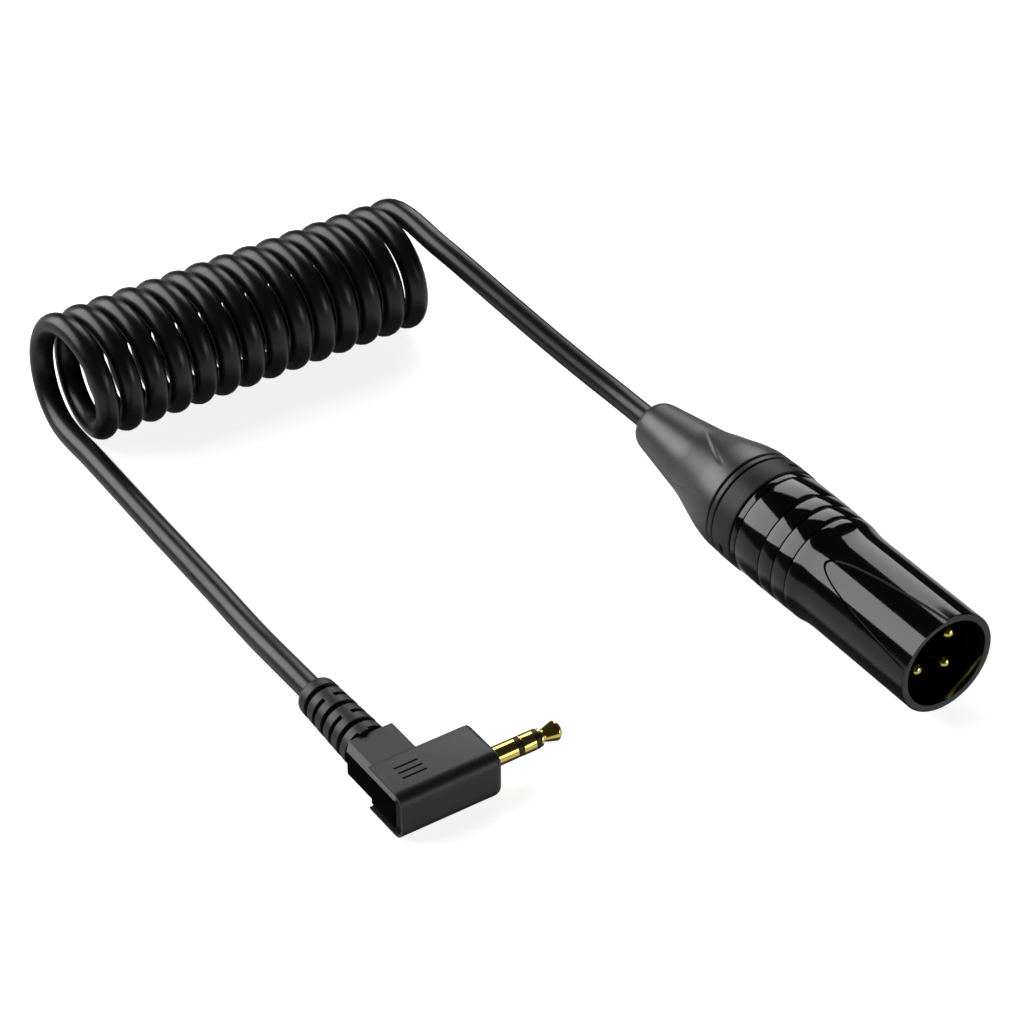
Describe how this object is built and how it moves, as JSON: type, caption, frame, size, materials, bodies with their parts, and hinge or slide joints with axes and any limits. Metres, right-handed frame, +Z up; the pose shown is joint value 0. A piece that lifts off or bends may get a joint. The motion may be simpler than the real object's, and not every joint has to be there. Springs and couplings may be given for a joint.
{
  "type": "coiled microphone cable",
  "caption": "Coiled audio cable with a male three-pin XLR plug at one end and a right-angle stereo mini jack plug at the other, lying on a surface.",
  "frame": {"origin": "on the surface that the cable lies on, under the middle of the two connectors", "axes": "+Z up; the XLR plug's mouth faces -Y; the jack pin points along +X; the coil lies along X behind the connectors"},
  "size_m": [0.1018, 0.1628, 0.0252],
  "materials": {
    "black_chrome": "polished black chrome",
    "gold_plate": "polished gold plate",
    "insert_plastic": "moulded black nylon",
    "ring_plastic": "satin black",
    "nut_plastic": "moulded black nylon",
    "chuck_plastic": "moulded natural acetal",
    "boot_rubber": "matte dark grey",
    "plug_plastic": "moulded satin black",
    "relief_rubber": "matte black",
    "cord_jacket": "semi-gloss black",
    "wire_red": "extruded",
    "wire_white": "extruded",
    "wire_copper": "twisted copper strands"
  },
  "bodies": {
    "xlr_side": {"xlr_shell": "black_chrome", "xlr_insert": "insert_plastic", "xlr_pin_1": "gold_plate", "xlr_pin_2": "gold_plate", "xlr_pin_3": "gold_plate", "xlr_chuck": "chuck_plastic", "xlr_wire_screen": "wire_copper", "xlr_wire_hot": "wire_red", "xlr_wire_cold": "wire_white", "cord_xlr_side": "cord_jacket", "cord_coil": "cord_jacket"},
    "coding_ring": {"xlr_coding_ring": "ring_plastic"},
    "boot": {"xlr_gland_nut": "nut_plastic", "xlr_boot_sleeve": "boot_rubber"},
    "plug_side": {"plug_housing": "plug_plastic", "plug_core": "plug_plastic", "plug_strain_relief": "relief_rubber", "jack_sleeve": "gold_plate", "jack_insulator_rear": "insert_plastic", "jack_ring": "gold_plate", "jack_insulator_front": "insert_plastic", "jack_tip": "gold_plate", "plug_wire_tip": "wire_red", "plug_wire_ring": "wire_white", "plug_wire_screen": "wire_copper", "cord_plug_side": "cord_jacket"}
  },
  "joints": [
    {"name": "ring_back_off", "type": "slide", "parent": "xlr_side", "child": "coding_ring", "axis": [0, 1, 0], "range_m": [0, 0.006]},
    {"name": "gland_screw", "type": "hinge", "parent": "coding_ring", "child": "boot", "pos_m": [0.0406, 0, 0.0103], "axis": [0, 1, 0], "range_deg": [0, 1441]},
    {"name": "coil_stretch", "type": "slide", "parent": "xlr_side", "child": "plug_side", "axis": [-1, 0, 0], "range_m": [0, 0.2], "stiffness_N_per_m": 15, "deforming": ["cord_coil"]}
  ],
  "couplings": [
    {"joint": "gland_screw", "follows": "ring_back_off", "rad_per_m": 4188.8}
  ]
}
